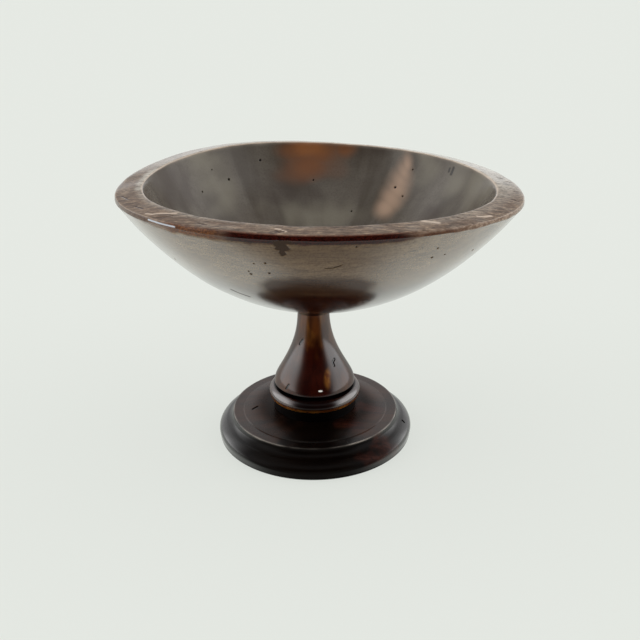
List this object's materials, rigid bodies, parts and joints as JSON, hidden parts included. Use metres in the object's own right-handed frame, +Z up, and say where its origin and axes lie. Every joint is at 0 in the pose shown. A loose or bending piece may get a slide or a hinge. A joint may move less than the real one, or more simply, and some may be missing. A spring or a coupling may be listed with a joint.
{
  "type": "wooden pedestal bowl",
  "caption": "Deep thick-walled turned wooden bowl, slightly warped with age, glued on a flared stem with a bead and a moulded round foot.",
  "frame": {"origin": "centre of the foot's flat underside, on the stem's axis", "axes": "+Z up along the stem, +X along the wider diameter of the warped bowl, to the right in the picture, +Y away from the camera"},
  "size_m": [0.2886, 0.2687, 0.2101],
  "materials": {
    "bowl_wood": "aged grey-brown hardwood with a worn wax sheen, darker under the rim, bare and streaked on the rim",
    "stem_wood": "dark red-brown hardwood, French-polished to a high gloss",
    "foot_wood": "near-black stained hardwood, satin polish, brown where the polish is worn"
  },
  "bodies": {
    "root": {"foot": "foot_wood", "stem": "stem_wood", "bowl": "bowl_wood"}
  },
  "joints": []
}
